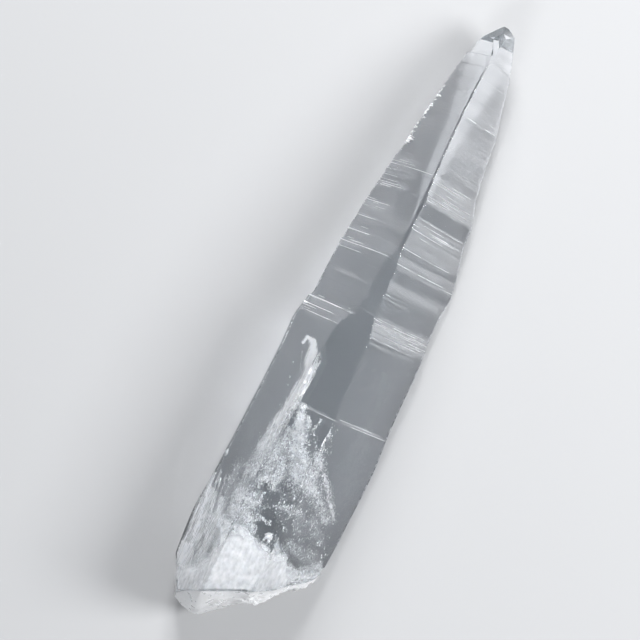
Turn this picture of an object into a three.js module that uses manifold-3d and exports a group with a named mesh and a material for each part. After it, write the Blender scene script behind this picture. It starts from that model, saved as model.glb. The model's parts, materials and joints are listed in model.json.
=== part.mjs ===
// A quartz point of the "lemurian" kind: one tapering, six-sided crystal with stepped growth lines across three of its
// six long faces, a small faceted termination, and a rough broken base. It lies on its widest long face.
//
// Frame, in millimetres: +X runs along the crystal's axis towards the tip, +Z is up, and the crystal rests on Z = 0.
// The long faces are called A to F. B is the narrow face on top, E is the broad flat face that it lies on,
// A and C slope down on either side of B (A towards +Y), and D and F are the narrow faces underneath them.

import * as THREE from 'three';
import { mergeVertices } from 'three/addons/utils/BufferGeometryUtils.js';
import Module from 'manifold-3d';

// ---------------------------------------------------------------- driving dimensions

const AXIS_HEIGHT = 10.13;             // the crystal's axis above the surface that it lies on
const ORIGIN = [76.786, 2.190, 0];       // where the resting footprint's middle is, measured from the axis at X = 0

// The envelope. Each row is one level along the axis: its place, then how far the long faces A B C D E F stand from the axis.
const LEVELS = [
  [-16.00, 17.63, 18.66, 11.87, 16.83, 10.13, 18.70],
  [0.00, 17.60, 18.66, 11.87, 16.96, 10.13, 19.02],
  [8.00, 17.58, 18.66, 11.87, 17.03, 10.13, 20.27],
  [13.33, 17.57, 18.66, 11.86, 17.06, 10.13, 20.79],
  [20.00, 17.56, 18.66, 11.86, 17.83, 10.13, 19.73],
  [26.66, 17.54, 18.66, 11.86, 18.15, 10.13, 18.83],
  [34.66, 17.39, 18.66, 11.85, 18.73, 10.13, 18.33],
  [42.66, 17.22, 18.66, 11.85, 18.87, 10.13, 17.86],
  [51.45, 16.68, 18.66, 12.04, 17.80, 10.13, 17.91],
  [58.65, 16.39, 18.66, 11.67, 17.71, 10.13, 17.76],
  [64.25, 16.39, 18.66, 11.74, 17.60, 10.13, 17.58],
  [68.25, 15.95, 18.66, 11.48, 18.00, 10.13, 18.29],
  [71.45, 15.82, 18.66, 11.63, 17.76, 10.13, 18.61],
  [73.85, 15.37, 18.66, 11.53, 17.61, 10.06, 18.51],
  [75.98, 14.82, 18.66, 11.29, 17.63, 10.00, 18.30],
  [78.65, 13.15, 18.66, 10.69, 17.79, 9.93, 18.88],
  [79.98, 13.00, 18.66, 10.50, 17.71, 9.89, 18.36],
  [83.98, 12.51, 18.66, 10.27, 17.59, 9.87, 18.40],
  [87.98, 12.01, 18.66, 10.09, 17.73, 9.84, 18.46],
  [93.31, 11.54, 18.66, 10.09, 18.92, 9.81, 18.30],
  [96.24, 11.18, 18.64, 9.83, 18.45, 9.76, 18.34],
  [99.18, 10.21, 18.61, 9.53, 17.83, 9.70, 18.94],
  [102.64, 9.91, 18.21, 9.21, 16.94, 9.55, 18.58],
  [107.44, 9.48, 17.49, 8.93, 15.53, 9.33, 18.10],
  [109.57, 9.26, 17.09, 8.76, 15.41, 9.15, 17.79],
  [113.31, 8.93, 16.40, 8.63, 15.25, 8.83, 17.04],
  [116.50, 8.64, 15.82, 7.91, 14.42, 8.56, 16.40],
  [119.97, 8.32, 15.20, 7.34, 13.14, 8.26, 15.73],
  [124.50, 7.97, 14.26, 6.72, 12.30, 7.90, 14.75],
  [129.30, 7.58, 13.32, 6.14, 11.83, 7.52, 14.02],
  [133.30, 7.26, 12.53, 5.66, 11.49, 7.20, 13.49],
  [137.83, 6.85, 11.59, 5.12, 11.48, 6.81, 12.50],
  [144.23, 6.13, 10.26, 4.51, 9.40, 6.27, 11.19],
  [149.30, 5.44, 9.06, 4.00, 8.12, 5.82, 10.24],
  [153.30, 4.72, 8.07, 3.65, 7.19, 5.47, 9.23],
  [157.29, 3.97, 7.00, 3.33, 5.54, 5.02, 8.69],
  [160.49, 3.31, 5.87, 3.12, 3.87, 4.69, 7.01],
  [170.62, 1.73, 3.70, 2.27, 2.13, 3.73, 3.73],
];
const NARROWEST = 0.4;                 // the least width of a narrow face B, D or F

// Growth lines: each is a small step inwards across one long face, at these places along the axis.
const LINES = {
  A: [74.64, 76.49, 78.61, 96.59, 99.50, 104.26, 107.97, 113.78, 119.33, 124.36, 128.60, 132.56, 136.79, 140.76, 144.72,
    148.69, 152.66, 156.10],
  C: [75.43, 77.55, 79.14, 80.46, 88.13, 95.27, 99.63, 104.39, 107.70, 114.05, 115.37, 119.07, 124.36, 129.12, 133.62,
    137.72, 144.33, 149.48, 154.50],
  E: [74.20, 79.50, 86.10, 92.40, 98.00, 103.10, 108.60, 113.00, 118.20, 123.90, 128.30, 133.00, 138.40, 143.60, 148.30,
    153.00, 157.40],
};
const STEP_RUN = 0.45;                 // length of a step's slope along the axis
const TREAD_SHARE = 0.55;              // how much of the taper lies in the long slopes between the steps

// The broken base. Each row is a place across the crystal, then how far down the axis the break starts at the top faces
// and how far down it reaches lower on, where it bulges out most.
const BREAK = [
  [-17.5, 12.60, 12.20],
  [-16.48, 11.50, 10.60],
  [-15.46, 9.67, 8.30],
  [-13.62, 8.04, 6.60],
  [-10.61, 6.45, 4.20],
  [-7.74, 4.10, 1.90],
  [-6.23, 3.40, -0.70],
  [-4.13, 2.60, -2.50],
  [-1.87, 1.60, -3.20],
  [1.50, 0.28, -5.20],
  [3.59, -0.70, -7.40],
  [6.03, -1.90, -9.45],
  [8.50, -3.00, -11.70],
  [10.92, -4.30, -12.40],
  [13.92, -6.20, -11.60],
  [15.71, -7.90, -10.60],
  [18.00, -8.60, -9.60],
  [22.50, -9.00, -9.20],
];
const BREAK_BULGE = 0.24;              // height of the bulge, as a share of the crystal's height there
const RIPPLE = 0.22;                   // depth of the shell-like ripples on the break

// Flat facets that trim the tip, and one split-off corner of the base: outward normal, then distance along it.
const TRIMS = [
  [0.3455, 0.6521, 0.6749, 65.436],
  [0.4610, 0.7589, 0.4599, 81.748],
  [0.8394, -0.1370, 0.5259, 143.953],
  [0.5939, 0.0000, -0.8046, 90.912],
  [0.5145, -0.7426, -0.4287, 81.430],
  [0.6950, 0.6227, -0.3595, 112.946],
  [-0.3990, 0.9040, 0.1530, 20.30],
];

// Chips along the edges: place along the axis, which corner (0 is A|B, then B|C, C|D, D|E, E|F, F|A), how deep, how long.
const CHIPS = [
  [12.5, 2, 0.9, 2.6], [30.0, 4, 0.8, 2.6], [57.6, 0, 0.3, 1.2], [61.0, 0, 0.28, 1.0], [104.0, 5, 0.4, 1.5],
  [121.3, 2, 0.4, 1.3], [126.6, 5, 0.6, 2.6], [130.0, 2, 0.4, 1.3], [135.5, 5, 0.7, 2.8], [141.0, 5, 0.6, 2.4],
  [154.6, 2, 0.35, 1.0],
];

// Points along each long face's side of the base, and the rings across the break and up to the first level.
const BASE_POINTS = { A: 7, B: 5, C: 9, D: 2, E: 9, F: 3 };
const BASE_TOP = 20.0;
const BASE_RINGS = 4;
const BREAK_RINGS = 5;

// ---------------------------------------------------------------- the long faces

const FACES = ['A', 'B', 'C', 'D', 'E', 'F'];
const NORMALS = FACES.map((_, i) => {
  const angle = THREE.MathUtils.degToRad(30 + 60 * i);
  return [Math.cos(angle), Math.sin(angle)];
});
const SIN60 = Math.sin(Math.PI / 3);

function along(rows, x, column) {
  if (x <= rows[0][0]) return rows[0][column];
  for (let i = 1; i < rows.length; i++) {
    if (x <= rows[i][0]) {
      const f = (x - rows[i - 1][0]) / (rows[i][0] - rows[i - 1][0]);
      return rows[i - 1][column] + f * (rows[i][column] - rows[i - 1][column]);
    }
  }
  return rows[rows.length - 1][column];
}

// A stepped face: its distance from the axis as a list of [place, distance], with long gentle slopes between short steps.
function stepped(face) {
  const column = 1 + FACES.indexOf(face);
  const lines = LINES[face];
  const half = STEP_RUN / 2;
  const nodes = LEVELS.filter((row) => row[0] < lines[0] - half).map((row) => [row[0], row[column]]);
  nodes.push([lines[0] - half, along(LEVELS, lines[0] - half, column)]);
  lines.forEach((line, k) => {
    const next = k + 1 < lines.length ? lines[k + 1] : LEVELS[LEVELS.length - 1][0];
    const start = along(LEVELS, line, column);
    const end = along(LEVELS, next, column);
    const slope = TREAD_SHARE * (end - start) / (next - line);
    const middle = along(LEVELS, (line + next) / 2, column);
    nodes.push([line + half, middle + slope * (line + half - (line + next) / 2)]);
    nodes.push([next - half, middle + slope * (next - half - (line + next) / 2)]);
  });
  return nodes;
}
const STEPPED = { A: stepped('A'), C: stepped('C'), E: stepped('E') };

function distances(x) {
  const h = FACES.map((face, i) => (STEPPED[face] ? along(STEPPED[face], x, 1) : along(LEVELS, x, i + 1)));
  for (const i of [1, 3, 5]) h[i] = Math.min(h[i], h[i - 1] + h[(i + 1) % 6] - NARROWEST * SIN60);
  return h;
}

// The six corners of the section at one level: corner i lies between face i and the next.
function corners(x) {
  const h = distances(x);
  return FACES.map((_, i) => {
    const j = (i + 1) % 6;
    const [c1, s1] = NORMALS[i];
    const [c2, s2] = NORMALS[j];
    const y = (h[i] * s2 - h[j] * s1) / SIN60;
    const z = (h[j] * c1 - h[i] * c2) / SIN60;
    return [y, z + AXIS_HEIGHT];
  });
}

// A point on the section: share w of the way across face i.
function onSection(x, i, w) {
  const c = corners(x);
  const [a, b] = [c[(i + 5) % 6], c[i]];
  return [a[0] + w * (b[0] - a[0]), a[1] + w * (b[1] - a[1])];
}

// ---------------------------------------------------------------- the broken base

function topHeight(y) {
  const c = corners(0);
  const [bc, ab] = [c[1], c[0]];
  const slope = Math.tan(Math.PI / 3);
  if (y > ab[0]) return ab[1] - slope * (y - ab[0]);
  if (y < bc[0]) return bc[1] - slope * (bc[0] - y);
  return bc[1];
}

function breakAt(y, z) {
  const front = along(BREAK, y, 1);
  const low = along(BREAK, y, 2);
  const w = THREE.MathUtils.clamp(z / Math.max(topHeight(y), 4), 0, 1);
  const g = w > BREAK_BULGE
    ? 1 - ((w - BREAK_BULGE) / (1 - BREAK_BULGE)) ** 2
    : 1 - 0.22 * ((BREAK_BULGE - w) / BREAK_BULGE) ** 2;
  const r = Math.hypot(y - 19, z - 24);
  const fade = Math.min(1, (1 - w) * 4);
  return front + (low - front) * g + RIPPLE * fade * (Math.sin(r * 1.15) + 0.6 * Math.sin(r * 2.3 + y * 0.4));
}

// ---------------------------------------------------------------- the closed body

const points = [];
const triangles = [];
const add = (x, yz) => points.push([x, yz[0], yz[1]]) - 1;

const stations = [...new Set([
  ...LEVELS.map((row) => row[0]).filter((x) => x > BASE_TOP && x < 74),
  ...Object.values(STEPPED).flat().map((node) => node[0]).filter((x) => x > BASE_TOP),
])].sort((a, b) => a - b).filter((x, i, all) => i === 0 || x - all[i - 1] > 0.02);

// around the base, the places on each side: [face, share across it]
const around = FACES.flatMap((face, i) =>
  Array.from({ length: BASE_POINTS[face] }, (_, k) => [i, k / BASE_POINTS[face]]));

const rim = around.map(([i, w]) => {
  let x = 0;
  for (let k = 0; k < 60; k++) {
    const [y, z] = onSection(x, i, w);
    x = 0.5 * x + 0.5 * breakAt(y, z);
  }
  return x;
});

const rings = [];
for (let k = 0; k <= BASE_RINGS; k++) {
  rings.push(around.map(([i, w], n) => {
    const x = rim[n] + (BASE_TOP - rim[n]) * (k / BASE_RINGS);
    return add(x, onSection(x, i, w));
  }));
}
for (let k = 0; k < BASE_RINGS; k++) {
  for (let n = 0; n < around.length; n++) {
    const m = (n + 1) % around.length;
    const [a, b, c, d] = [rings[k][n], rings[k][m], rings[k + 1][m], rings[k + 1][n]];
    triangles.push([a, b, c], [a, c, d]);
  }
}

// the break, from the rim in to its middle
const middle = rings[0].reduce((sum, n) => [sum[0] + points[n][1] / around.length, sum[1] + points[n][2] / around.length],
  [0, 0]);
let outer = rings[0];
for (let k = 1; k < BREAK_RINGS; k++) {
  const share = 1 - k / BREAK_RINGS;
  const inner = rings[0].map((n) => {
    const y = middle[0] + share * (points[n][1] - middle[0]);
    const z = middle[1] + share * (points[n][2] - middle[1]);
    return add(breakAt(y, z), [y, z]);
  });
  for (let n = 0; n < around.length; n++) {
    const m = (n + 1) % around.length;
    triangles.push([outer[n], inner[n], inner[m]], [outer[n], inner[m], outer[m]]);
  }
  outer = inner;
}
const hub = add(breakAt(...middle), middle);
for (let n = 0; n < around.length; n++) triangles.push([outer[n], hub, outer[(n + 1) % around.length]]);

// from the many points of the last base ring to the six corners of the first level, then level by level to the tip
const cornerRings = stations.map((x) => corners(x).map((yz) => add(x, yz)));
const last = rings[BASE_RINGS];
let start = 0;
FACES.forEach((face, i) => {
  const n = BASE_POINTS[face];
  const side = Array.from({ length: n + 1 }, (_, k) => last[(start + k) % around.length]);
  const [left, right] = [cornerRings[0][(i + 5) % 6], cornerRings[0][i]];
  const half = Math.floor(n / 2);
  for (let k = 0; k < n; k++) triangles.push([side[k], side[k + 1], k < half ? left : right]);
  triangles.push([left, side[half], right]);
  start += n;
});
for (let k = 1; k < cornerRings.length; k++) {
  for (let i = 0; i < 6; i++) {
    const j = (i + 1) % 6;
    const [a, b, c, d] = [cornerRings[k - 1][i], cornerRings[k - 1][j], cornerRings[k][j], cornerRings[k][i]];
    triangles.push([a, b, c], [a, c, d]);
  }
}
const topRing = cornerRings[cornerRings.length - 1];
for (let i = 1; i < 5; i++) triangles.push([topRing[0], topRing[i], topRing[i + 1]]);

function signedVolume() {
  let v = 0;
  for (const [a, b, c] of triangles) {
    const [p, q, r] = [points[a], points[b], points[c]];
    v += p[0] * (q[1] * r[2] - q[2] * r[1]) - p[1] * (q[0] * r[2] - q[2] * r[0]) + p[2] * (q[0] * r[1] - q[1] * r[0]);
  }
  return v / 6;
}
if (signedVolume() < 0) triangles.forEach((t) => t.reverse());

const bodyGeometry = new THREE.BufferGeometry();
bodyGeometry.setAttribute('position', new THREE.Float32BufferAttribute(points.flat(), 3));
bodyGeometry.setIndex(triangles.flat());

// ---------------------------------------------------------------- trims and chips

const wasm = await Module();
wasm.setup();

function solid(geometry) {
  const g = geometry.clone();
  g.deleteAttribute('normal');
  g.deleteAttribute('uv');
  const merged = mergeVertices(g, 1e-5);
  return new wasm.Manifold(new wasm.Mesh({
    numProp: 3,
    vertProperties: new Float32Array(merged.attributes.position.array),
    triVerts: new Uint32Array(merged.index.array),
  }));
}

let crystal = solid(bodyGeometry);

const BLOCK = 120;
for (const [nx, ny, nz, distance] of TRIMS) {
  const normal = new THREE.Vector3(nx, ny, nz);
  const length = normal.length();
  normal.divideScalar(length);
  const block = new THREE.BoxGeometry(BLOCK, BLOCK, BLOCK);
  const turn = new THREE.Quaternion().setFromUnitVectors(new THREE.Vector3(0, 0, 1), normal);
  // the block's inner face lies in the facet's plane, centred near the part of the crystal that it trims
  const near = new THREE.Vector3(nx > 0 ? 160 : 0, 0, AXIS_HEIGHT);
  near.addScaledVector(normal, distance / length - near.dot(normal) + BLOCK / 2);
  block.applyMatrix4(new THREE.Matrix4().compose(near, turn, new THREE.Vector3(1, 1, 1)));
  crystal = crystal.subtract(solid(block));
}

for (const [x, corner, depth, length] of CHIPS) {
  const [y, z] = corners(x)[corner];
  const outward = new THREE.Vector3(0, y, z - AXIS_HEIGHT).normalize();
  const chip = new THREE.IcosahedronGeometry(1, 1);
  const radius = 1.7 * depth;
  const centre = new THREE.Vector3(x, y, z).addScaledVector(outward, radius - depth);
  const turn = new THREE.Quaternion().setFromUnitVectors(new THREE.Vector3(0, 0, 1), outward);
  const lean = new THREE.Quaternion().setFromAxisAngle(new THREE.Vector3(0, 1, 0), 0.25 * Math.sin(7 * x));
  chip.applyMatrix4(new THREE.Matrix4().makeScale(length / 2, radius * 1.25, radius));
  chip.applyMatrix4(new THREE.Matrix4().makeRotationFromQuaternion(turn.multiply(lean)));
  chip.translate(centre.x, centre.y, centre.z);
  crystal = crystal.subtract(solid(chip));
}

const cut = crystal.getMesh();
const geometry = new THREE.BufferGeometry();
geometry.setAttribute('position', new THREE.Float32BufferAttribute(Float32Array.from(cut.vertProperties), 3));
geometry.setIndex(Array.from(cut.triVerts));
geometry.translate(-ORIGIN[0], -ORIGIN[1], -ORIGIN[2]);
geometry.computeVertexNormals();

// ---------------------------------------------------------------- the part

const quartz = new THREE.MeshStandardMaterial({
  color: new THREE.Color(0.93, 0.94, 0.95),
  roughness: 0.05,
  metalness: 0,
  transparent: true,
  opacity: 0.35,
  side: THREE.DoubleSide,
});

const point = new THREE.Mesh(geometry, quartz);
point.name = 'quartz_point';

const group = new THREE.Group();
group.add(point);

export default group;
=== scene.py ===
import json
import math

import bmesh
import bpy
import numpy as np
from mathutils import Matrix, Vector
from mathutils.bvhtree import BVHTree

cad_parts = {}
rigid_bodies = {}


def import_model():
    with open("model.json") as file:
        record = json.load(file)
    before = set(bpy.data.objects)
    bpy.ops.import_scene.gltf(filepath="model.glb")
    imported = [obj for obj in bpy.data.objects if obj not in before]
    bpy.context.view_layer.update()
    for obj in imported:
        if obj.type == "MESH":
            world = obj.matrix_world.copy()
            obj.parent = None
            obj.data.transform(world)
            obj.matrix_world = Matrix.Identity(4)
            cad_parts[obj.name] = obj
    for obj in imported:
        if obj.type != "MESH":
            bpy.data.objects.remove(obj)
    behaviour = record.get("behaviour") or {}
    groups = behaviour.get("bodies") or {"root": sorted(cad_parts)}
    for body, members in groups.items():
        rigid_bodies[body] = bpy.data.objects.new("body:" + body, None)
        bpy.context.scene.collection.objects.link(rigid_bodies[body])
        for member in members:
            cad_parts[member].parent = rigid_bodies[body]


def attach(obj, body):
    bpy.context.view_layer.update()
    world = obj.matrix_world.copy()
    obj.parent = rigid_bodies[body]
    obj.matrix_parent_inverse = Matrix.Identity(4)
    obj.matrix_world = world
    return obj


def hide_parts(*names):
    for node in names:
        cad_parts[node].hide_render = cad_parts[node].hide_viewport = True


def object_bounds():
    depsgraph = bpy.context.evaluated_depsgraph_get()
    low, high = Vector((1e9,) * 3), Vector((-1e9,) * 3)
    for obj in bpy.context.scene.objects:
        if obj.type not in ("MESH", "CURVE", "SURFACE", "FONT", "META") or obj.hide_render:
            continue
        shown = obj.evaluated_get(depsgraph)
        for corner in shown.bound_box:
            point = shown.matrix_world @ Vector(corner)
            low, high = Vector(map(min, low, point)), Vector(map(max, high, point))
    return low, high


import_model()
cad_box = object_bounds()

# A long, tapering, six-sided point of clear quartz, lying on its widest long face. Everything below is in millimetres
# until a mesh is made. X runs along the crystal's axis towards the tip and Z is up. The long faces are A to F around
# the axis: B is on top, E is underneath, A and C slope down on either side of B, and D and F are the narrow lower ones.

MM = 0.001
AXIS_HEIGHT = 10.13
ORIGIN = np.array([76.786, 2.190, 0.0])
CRYSTAL = "quartz_point"

# ---------------------------------------------------------------- the envelope

# place along the axis, then how far the long faces A B C D E F stand from the axis
LEVELS = np.array([
    [-16.00, 17.63, 18.66, 11.87, 16.83, 10.13, 18.70],
    [0.00, 17.60, 18.66, 11.87, 16.96, 10.13, 19.02],
    [8.00, 17.58, 18.66, 11.87, 17.03, 10.13, 20.27],
    [13.33, 17.57, 18.66, 11.86, 17.06, 10.13, 20.79],
    [20.00, 17.56, 18.66, 11.86, 17.83, 10.13, 19.73],
    [26.66, 17.54, 18.66, 11.86, 18.15, 10.13, 18.83],
    [34.66, 17.39, 18.66, 11.85, 18.73, 10.13, 18.33],
    [42.66, 17.22, 18.66, 11.85, 18.87, 10.13, 17.86],
    [51.45, 16.68, 18.66, 12.04, 17.80, 10.13, 17.91],
    [58.65, 16.39, 18.66, 11.67, 17.71, 10.13, 17.76],
    [64.25, 16.39, 18.66, 11.74, 17.60, 10.13, 17.58],
    [68.25, 15.95, 18.66, 11.48, 18.00, 10.13, 18.29],
    [71.45, 15.82, 18.66, 11.63, 17.76, 10.13, 18.61],
    [73.85, 15.37, 18.66, 11.53, 17.61, 10.06, 18.51],
    [75.98, 14.82, 18.66, 11.29, 17.63, 10.00, 18.30],
    [78.65, 13.15, 18.66, 10.69, 17.79, 9.93, 18.88],
    [79.98, 13.00, 18.66, 10.50, 17.71, 9.89, 18.36],
    [83.98, 12.51, 18.66, 10.27, 17.59, 9.87, 18.40],
    [87.98, 12.01, 18.66, 10.09, 17.73, 9.84, 18.46],
    [93.31, 11.54, 18.66, 10.09, 18.92, 9.81, 18.30],
    [96.24, 11.18, 18.64, 9.83, 18.45, 9.76, 18.34],
    [99.18, 10.21, 18.61, 9.53, 17.83, 9.70, 18.94],
    [102.64, 9.91, 18.21, 9.21, 16.94, 9.55, 18.58],
    [107.44, 9.48, 17.49, 8.93, 15.53, 9.33, 18.10],
    [109.57, 9.26, 17.09, 8.76, 15.41, 9.15, 17.79],
    [113.31, 8.93, 16.40, 8.63, 15.25, 8.83, 17.04],
    [116.50, 8.64, 15.82, 7.91, 14.42, 8.56, 16.40],
    [119.97, 8.32, 15.20, 7.34, 13.14, 8.26, 15.73],
    [124.50, 7.97, 14.26, 6.72, 12.30, 7.90, 14.75],
    [129.30, 7.58, 13.32, 6.14, 11.83, 7.52, 14.02],
    [133.30, 7.26, 12.53, 5.66, 11.49, 7.20, 13.49],
    [137.83, 6.85, 11.59, 5.12, 11.48, 6.81, 12.50],
    [144.23, 6.13, 10.26, 4.51, 9.40, 6.27, 11.19],
    [149.30, 5.44, 9.06, 4.00, 8.12, 5.82, 10.24],
    [153.30, 4.72, 8.07, 3.65, 7.19, 5.47, 9.23],
    [157.29, 3.97, 7.00, 3.33, 5.54, 5.02, 8.69],
    [160.49, 3.31, 5.87, 3.12, 3.87, 4.69, 7.01],
    [170.62, 1.73, 3.70, 2.27, 2.13, 3.73, 3.73],
])
NARROWEST = 0.4

# the larger growth lines, each a small step inwards across one long face
LINES = {
    0: [74.64, 76.49, 78.61, 96.59, 99.50, 104.26, 107.97, 113.78, 119.33, 124.36, 128.60, 132.56, 136.79, 140.76,
        144.72, 148.69, 152.66, 156.10],
    2: [75.43, 77.55, 79.14, 80.46, 88.13, 95.27, 99.63, 104.39, 107.70, 114.05, 115.37, 119.07, 124.36, 129.12,
        133.62, 137.72, 144.33, 149.48, 154.50],
    4: [74.20, 79.50, 86.10, 92.40, 98.00, 103.10, 108.60, 113.00, 118.20, 123.90, 128.30, 133.00, 138.40, 143.60,
        148.30, 153.00, 157.40],
}
STEP_RUN = 0.40
TREAD_SHARE = {0: 0.55, 2: 0.55, 4: 0.90}

# the broken base: place across, how far down the break starts at the top faces, and how far down it bulges lower on
BREAK = np.array([
    [-17.5, 12.60, 12.20], [-16.48, 11.50, 10.60], [-15.46, 9.67, 8.30], [-13.62, 8.04, 6.60], [-10.61, 6.45, 4.20],
    [-7.74, 4.10, 1.90], [-6.23, 3.40, -0.70], [-4.13, 2.60, -2.50], [-1.87, 1.60, -3.20], [1.50, 0.28, -5.20],
    [3.59, -0.70, -7.40], [6.03, -1.90, -9.45], [8.50, -3.00, -11.70], [10.92, -4.30, -12.40], [13.92, -6.20, -11.60],
    [15.71, -7.90, -10.60], [18.00, -8.60, -9.60], [22.50, -9.00, -9.20],
])
BREAK_BULGE = 0.24
LOWEST = -12.22

# flat facets that trim the tip, and one split-off corner of the base: outward normal, then distance along it
TRIMS = [
    (0.3455, 0.6521, 0.6749, 65.436),
    (0.4610, 0.7589, 0.4599, 81.748),
    (0.8394, -0.1370, 0.5259, 143.953),
    (0.5939, 0.0000, -0.8046, 90.912),
    (0.5145, -0.7426, -0.4287, 81.430),
    (0.6950, 0.6227, -0.3595, 112.946),
    (-0.3990, 0.9040, 0.1530, 20.30),
]

# chips along the edges: place, which corner (0 is A|B, then B|C, C|D, D|E, E|F, F|A), how deep, how long
CHIPS = [
    (12.5, 2, 0.9, 2.6), (30.0, 4, 0.8, 2.6), (57.6, 0, 0.30, 1.2), (61.0, 0, 0.28, 1.0),
    (104.0, 5, 0.4, 1.5), (121.3, 2, 0.4, 1.3), (126.6, 5, 0.6, 2.6), (130.0, 2, 0.4, 1.3), (135.5, 5, 0.7, 2.8),
    (141.0, 5, 0.6, 2.4), (154.6, 2, 0.35, 1.0),
]

ANGLES = np.radians(30 + 60 * np.arange(6))
NORMALS = np.stack([np.cos(ANGLES), np.sin(ANGLES)], 1)
SIN60 = math.sin(math.pi / 3)
BASE_TOP = 20.0

# ---------------------------------------------------------------- seeded noise


def hashed(i, seed):
    """A number from 0 to 1 for each whole number, the same every time."""
    n = (np.asarray(i, np.int64) * 374761393 + seed * 668265263) & 0x7FFFFFFF
    n = ((n ^ (n >> 13)) * 1274126177) & 0x7FFFFFFF
    n = ((n ^ (n >> 16)) * 1103515245) & 0x7FFFFFFF
    return (n ^ (n >> 15)) / 2147483647.0


def noise1(x, seed):
    x = np.asarray(x, float)
    i = np.floor(x).astype(np.int64)
    f = x - i
    f = f * f * (3 - 2 * f)
    return (1 - f) * hashed(i, seed) + f * hashed(i + 1, seed)


def noise2(x, y, seed):
    x, y = np.broadcast_arrays(np.asarray(x, float), np.asarray(y, float))
    i, j = np.floor(x).astype(np.int64), np.floor(y).astype(np.int64)
    f, g = x - i, y - j
    f, g = f * f * (3 - 2 * f), g * g * (3 - 2 * g)
    at = lambda a, b: hashed(a + b * 7919, seed)
    return (1 - g) * ((1 - f) * at(i, j) + f * at(i + 1, j)) + g * ((1 - f) * at(i, j + 1) + f * at(i + 1, j + 1))


def noise3(p, seed):
    p = np.asarray(p, float)
    z = p[..., 2]
    k = np.floor(z).astype(np.int64)
    f = z - k
    f = f * f * (3 - 2 * f)
    x, y = p[..., 0], p[..., 1]
    low = noise2(x + hashed(k, 11) * 913, y + hashed(k, 12) * 577, seed)
    high = noise2(x + hashed(k + 1, 11) * 913, y + hashed(k + 1, 12) * 577, seed)
    return (1 - f) * low + f * high


def smooth(a, b, x):
    t = np.clip((x - a) / (b - a), 0, 1)
    return t * t * (3 - 2 * t)


def window(x, a, b, edge):
    """1 between a and b, falling to 0 over edge on either side."""
    return smooth(a - edge, a, x) * (1 - smooth(b, b + edge, x))


# ---------------------------------------------------------------- the long faces


def stepped(face):
    lines, half = LINES[face], STEP_RUN / 2
    column = lambda x: float(np.interp(x, LEVELS[:, 0], LEVELS[:, face + 1]))
    xs = [x for x in LEVELS[:, 0] if x < lines[0] - half]
    hs = [column(x) for x in xs]
    xs.append(lines[0] - half)
    hs.append(column(lines[0] - half))
    for k, line in enumerate(lines):
        end = lines[k + 1] if k + 1 < len(lines) else LEVELS[-1, 0]
        slope = TREAD_SHARE[face] * (column(end) - column(line)) / (end - line)
        middle = column((line + end) / 2)
        for x in (line + half, end - half):
            xs.append(x)
            hs.append(middle + slope * (x - (line + end) / 2))
    return np.array(xs), np.array(hs)


STEPPED = {face: stepped(face) for face in LINES}

# where fine growth lines are dense: for each face, spans along the axis and how strong the lines are there
FINE = {
    0: [(74.0, 79.6, 1.0), (94.0, 123.0, 1.0), (80.0, 94.0, 0.12), (123.0, 166.0, 0.22)],
    1: [(74.0, 166.0, 0.10)],
    2: [(73.0, 83.0, 1.3), (83.0, 94.0, 0.45), (94.0, 122.0, 1.0), (122.0, 141.0, 0.55), (141.0, 166.0, 0.35)],
    3: [(74.0, 166.0, 0.2)],
    4: [(76.0, 166.0, 0.15)],
    5: [(74.0, 166.0, 0.2)],
}


def fine_strength(face, x):
    return sum(s * window(x, a, b, 0.8) for a, b, s in FINE[face])


def fine_table(face):
    """Fine growth lines: shallow, flat-bottomed grooves of uneven spacing, as a depth inwards along the axis."""
    rng = np.random.default_rng(40 + face)
    x = np.arange(55.0, 172.0, 0.02)
    depth = np.zeros_like(x)
    at = 60.0
    while at < 168:
        width = rng.uniform(0.12, 0.45)
        d = rng.choice([0.012, 0.02, 0.035, 0.06], p=[0.4, 0.3, 0.2, 0.1])
        depth += d * np.clip(1 - np.abs(x - at) / width * 1.5, 0, 0.75)
        at += rng.exponential(0.55) + 0.12
    return x, depth * fine_strength(face, x)


FINE_TABLES = [fine_table(face) for face in range(6)]


def fine_lines(face, x):
    return np.interp(x, *FINE_TABLES[face])


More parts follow.
